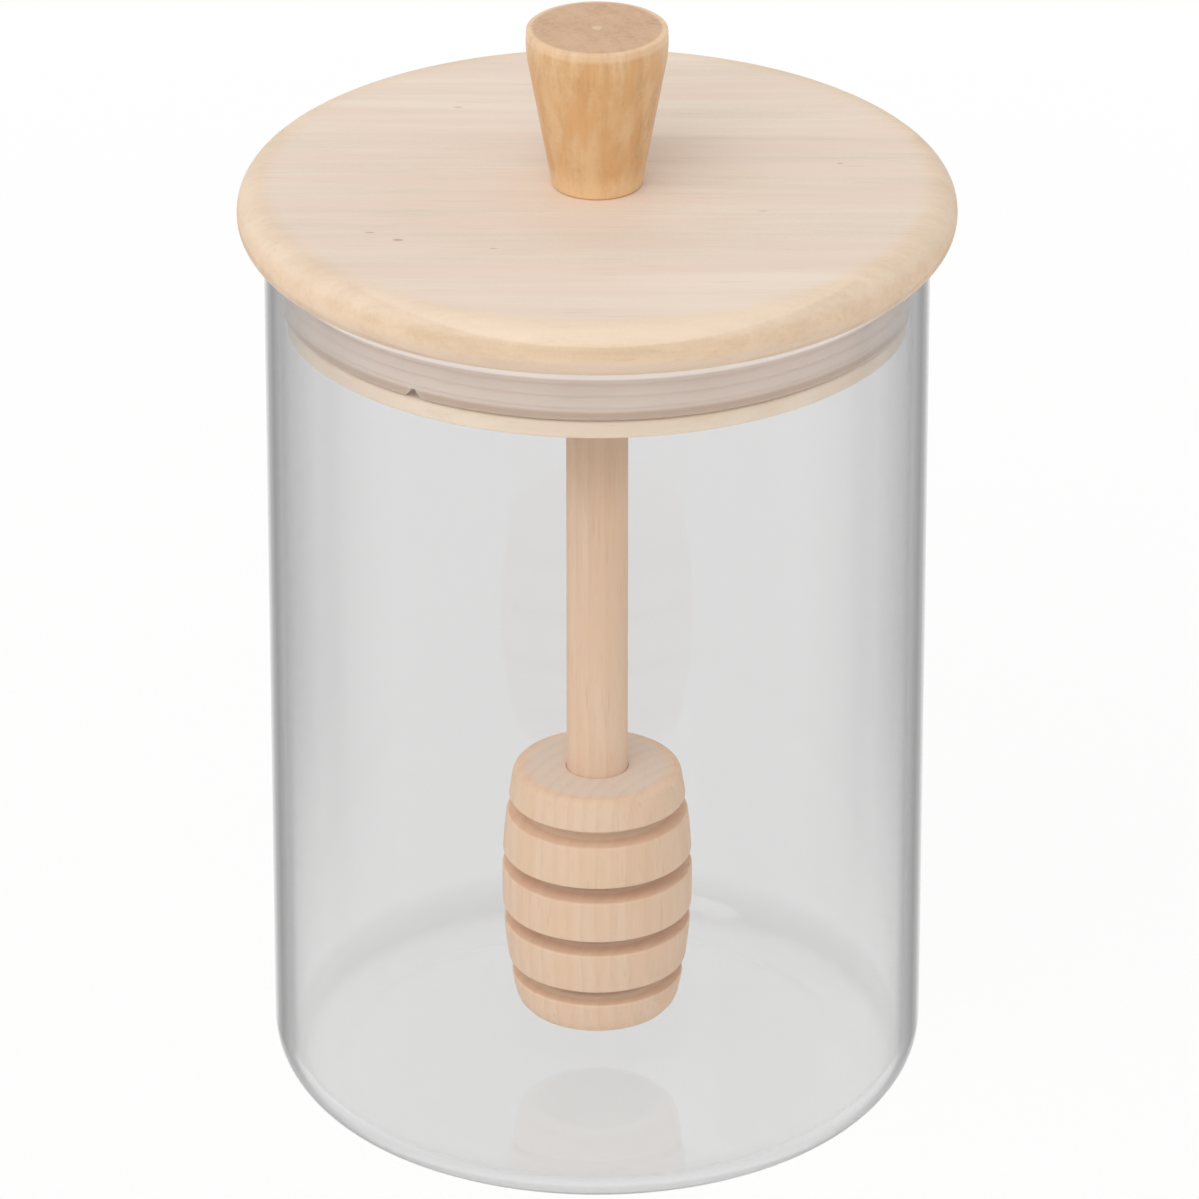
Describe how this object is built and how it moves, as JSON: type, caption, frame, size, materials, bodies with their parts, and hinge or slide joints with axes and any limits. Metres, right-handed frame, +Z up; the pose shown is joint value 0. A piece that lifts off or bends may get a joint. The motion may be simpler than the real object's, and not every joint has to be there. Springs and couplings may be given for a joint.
{
  "type": "honey dispenser",
  "caption": "Cylindrical clear glass honey jar with a sealed pale wooden lid, a turned knob and a grooved wooden dipper that hangs inside from the lid.",
  "frame": {"origin": "centre of the jar's foot, on the surface that it stands on", "axes": "+Z up along the jar's axis; -Y faces a person who looks at the front"},
  "size_m": [0.0918, 0.0918, 0.1484],
  "materials": {
    "clear_glass": "clear, faintly grey, fire polished",
    "lid_wood": "sanded pale wood with fine straight grain, unvarnished",
    "plug_wood": "turned pale wood, unvarnished",
    "seal_silicone": "milky translucent silicone, satin",
    "knob_wood": "turned honey-coloured wood, satin varnish",
    "screw_steel": "zinc-plated steel",
    "dipper_wood": "turned beige wood, unvarnished"
  },
  "bodies": {
    "jar": {"glass_jar": "clear_glass"},
    "seal": {"seal_ring": "seal_silicone"},
    "lid": {"lid_disc": "lid_wood", "lid_plug": "plug_wood", "knob": "knob_wood", "knob_screw": "screw_steel", "dipper_stick": "dipper_wood", "dipper_head": "dipper_wood"}
  },
  "joints": [
    {"name": "lid_lift", "type": "slide", "parent": "jar", "child": "seal", "axis": [0, 0, 1], "range_m": [0, 0.12]},
    {"name": "lid_turn", "type": "hinge", "parent": "seal", "child": "lid", "pos_m": [0, 0, 0.11], "axis": [0, 0, 1], "continuous": true}
  ]
}
